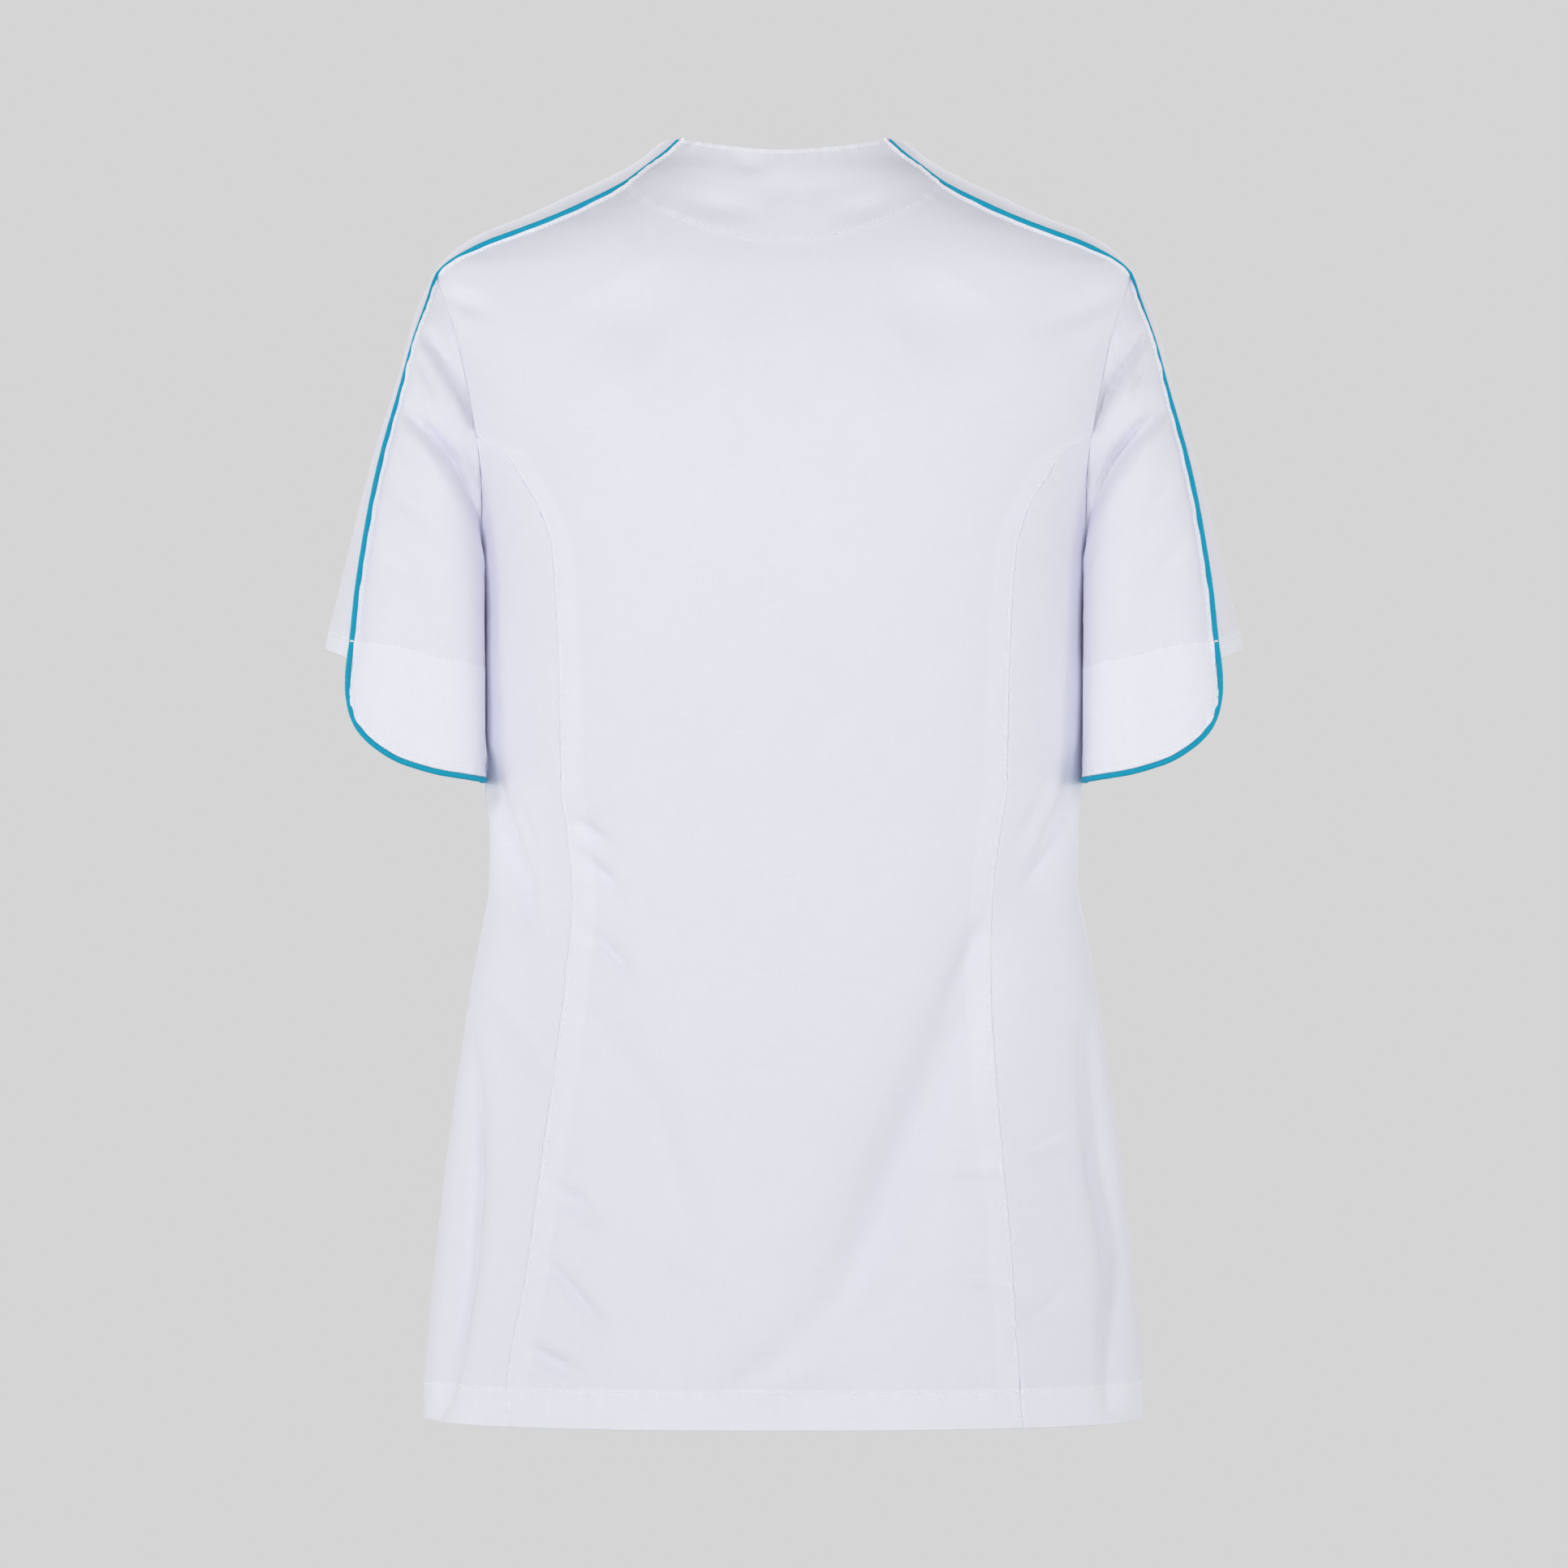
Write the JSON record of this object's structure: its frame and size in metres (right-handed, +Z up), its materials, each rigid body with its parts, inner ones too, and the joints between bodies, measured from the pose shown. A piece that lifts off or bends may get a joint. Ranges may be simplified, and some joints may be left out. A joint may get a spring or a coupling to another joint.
{
  "type": "short-sleeved medical tunic",
  "caption": "Fitted short-sleeved medical tunic worn by no one, hollow and open at neck, cuffs and hem, with piping over the shoulders and round the backs of the sleeves.",
  "frame": {"origin": "on the middle line, between the two points where the shoulder seams meet the neck, where the wearer's shoulders hold the tunic up", "axes": "+Z up to the neck, +Y the way the wearer faces, so the back looks along -Y, +X towards the wearer's right"},
  "size_m": [0.525, 0.237, 0.7329],
  "materials": {
    "white_cloth": "plain white uniform cloth",
    "turquoise_piping": "corded turquoise piping"
  },
  "bodies": {
    "root": {"back_centre": "white_cloth", "back_side_left": "white_cloth", "back_side_right": "white_cloth", "front_centre": "white_cloth", "front_side_left": "white_cloth", "front_side_right": "white_cloth", "neck_facing_back": "white_cloth", "sleeve_back_left": "white_cloth", "sleeve_back_right": "white_cloth", "sleeve_facing_left": "white_cloth", "sleeve_facing_right": "white_cloth", "sleeve_front_left": "white_cloth", "sleeve_front_right": "white_cloth", "piping_shoulder_left": "turquoise_piping", "piping_shoulder_right": "turquoise_piping", "piping_sleeve_left": "turquoise_piping", "piping_sleeve_right": "turquoise_piping"}
  },
  "joints": []
}
